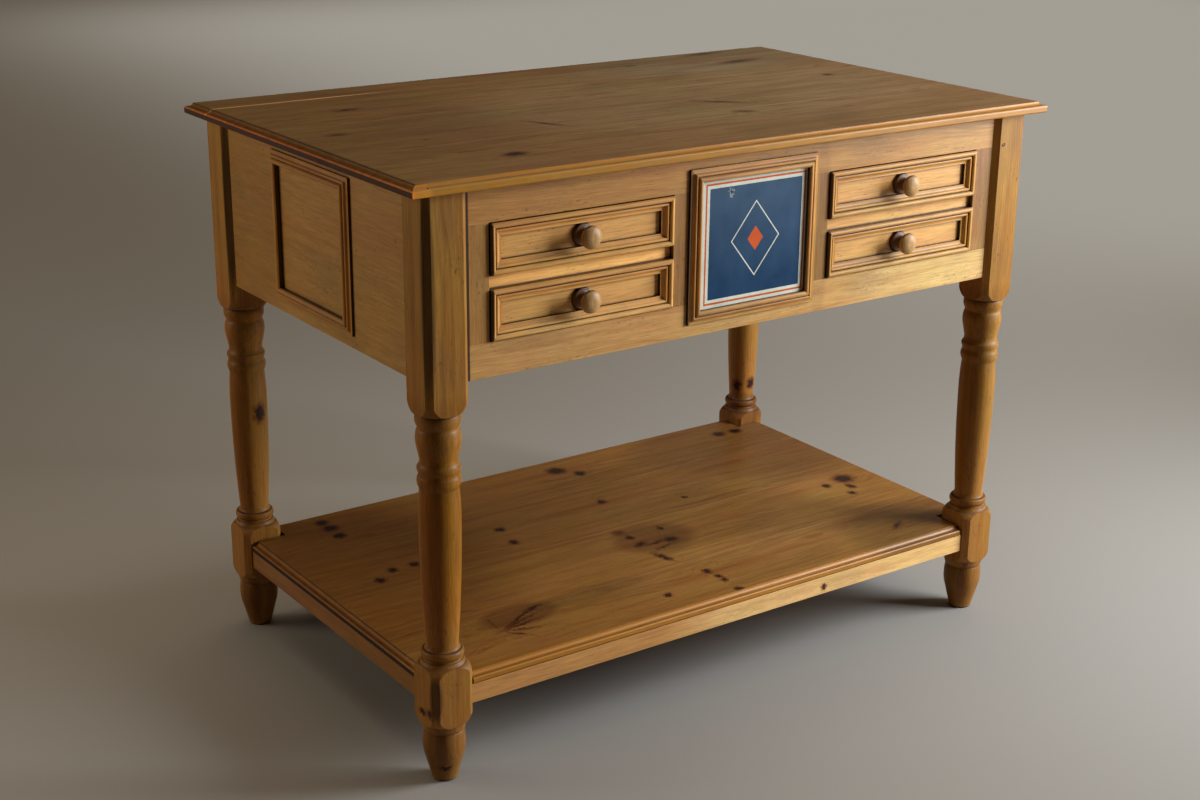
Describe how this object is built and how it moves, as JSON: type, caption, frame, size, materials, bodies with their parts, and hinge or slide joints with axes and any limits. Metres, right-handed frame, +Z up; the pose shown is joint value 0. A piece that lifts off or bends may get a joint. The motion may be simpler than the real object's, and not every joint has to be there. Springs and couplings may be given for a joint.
{
  "type": "work table",
  "caption": "Kitchen work table in waxed pine with turned legs, a moulded top, deep drawers with doubled fronts, a framed plaque and a low shelf.",
  "frame": {"origin": "on the floor, under the middle of the table", "axes": "+X along the front to its right end, +Y from the front to the back, +Z up; the drawers open along -Y"},
  "size_m": [1.2, 0.742, 0.914],
  "materials": {
    "pine_top": "waxed and worn, satin",
    "pine_leg": "waxed, satin",
    "pine_apron": "waxed, satin",
    "pine_moulding": "waxed, satin",
    "pine_drawer_front": "waxed, satin",
    "pine_shelf": "waxed, satin",
    "pine_rail": "waxed, satin",
    "pine_inside": "bare, matt",
    "knob_wood": "waxed, satin",
    "plaque_paint": "painted, satin",
    "screw_steel": "zinc plated"
  },
  "bodies": {
    "table": {"top_board_1": "pine_top", "top_board_2": "pine_top", "top_board_3": "pine_top", "top_board_4": "pine_top", "top_screws": "screw_steel", "leg_front_left": "pine_leg", "leg_front_right": "pine_leg", "leg_back_left": "pine_leg", "leg_back_right": "pine_leg", "front_top_rail": "pine_apron", "front_bottom_rail": "pine_apron", "front_end_stile_left": "pine_apron", "front_end_stile_right": "pine_apron", "front_centre_board": "pine_apron", "back_apron": "pine_apron", "side_apron_left": "pine_apron", "side_apron_right": "pine_apron", "centre_moulding": "pine_moulding", "centre_plaque": "plaque_paint", "side_moulding_left": "pine_moulding", "side_moulding_right": "pine_moulding", "drawer_runner_left_inner": "pine_inside", "drawer_runner_left_outer": "pine_inside", "drawer_runner_right_inner": "pine_inside", "drawer_runner_right_outer": "pine_inside", "drawer_guide_left_inner": "pine_inside", "drawer_guide_left_outer": "pine_inside", "drawer_guide_right_inner": "pine_inside", "drawer_guide_right_outer": "pine_inside", "drawer_kicker_left_inner": "pine_inside", "drawer_kicker_left_outer": "pine_inside", "drawer_kicker_right_inner": "pine_inside", "drawer_kicker_right_outer": "pine_inside", "drawer_stops": "pine_inside", "shelf_board_1": "pine_shelf", "shelf_board_2": "pine_shelf", "shelf_board_3": "pine_shelf", "shelf_board_4": "pine_shelf", "shelf_rail_front": "pine_rail", "shelf_rail_back": "pine_rail", "shelf_rail_left": "pine_rail", "shelf_rail_right": "pine_rail"},
    "drawer_left": {"drawer_left_front": "pine_drawer_front", "drawer_left_side_inner": "pine_inside", "drawer_left_side_outer": "pine_inside", "drawer_left_back": "pine_inside", "drawer_left_bottom": "pine_inside", "drawer_left_moulding_upper": "pine_moulding", "drawer_left_moulding_lower": "pine_moulding", "drawer_left_knob_upper": "knob_wood", "drawer_left_knob_lower": "knob_wood"},
    "drawer_right": {"drawer_right_front": "pine_drawer_front", "drawer_right_side_inner": "pine_inside", "drawer_right_side_outer": "pine_inside", "drawer_right_back": "pine_inside", "drawer_right_bottom": "pine_inside", "drawer_right_moulding_upper": "pine_moulding", "drawer_right_moulding_lower": "pine_moulding", "drawer_right_knob_upper": "knob_wood", "drawer_right_knob_lower": "knob_wood"}
  },
  "joints": [
    {"name": "drawer_left_slide", "type": "slide", "parent": "table", "child": "drawer_left", "axis": [0, -1, 0], "range_m": [0, 0.4]},
    {"name": "drawer_right_slide", "type": "slide", "parent": "table", "child": "drawer_right", "axis": [0, -1, 0], "range_m": [0, 0.4]}
  ]
}
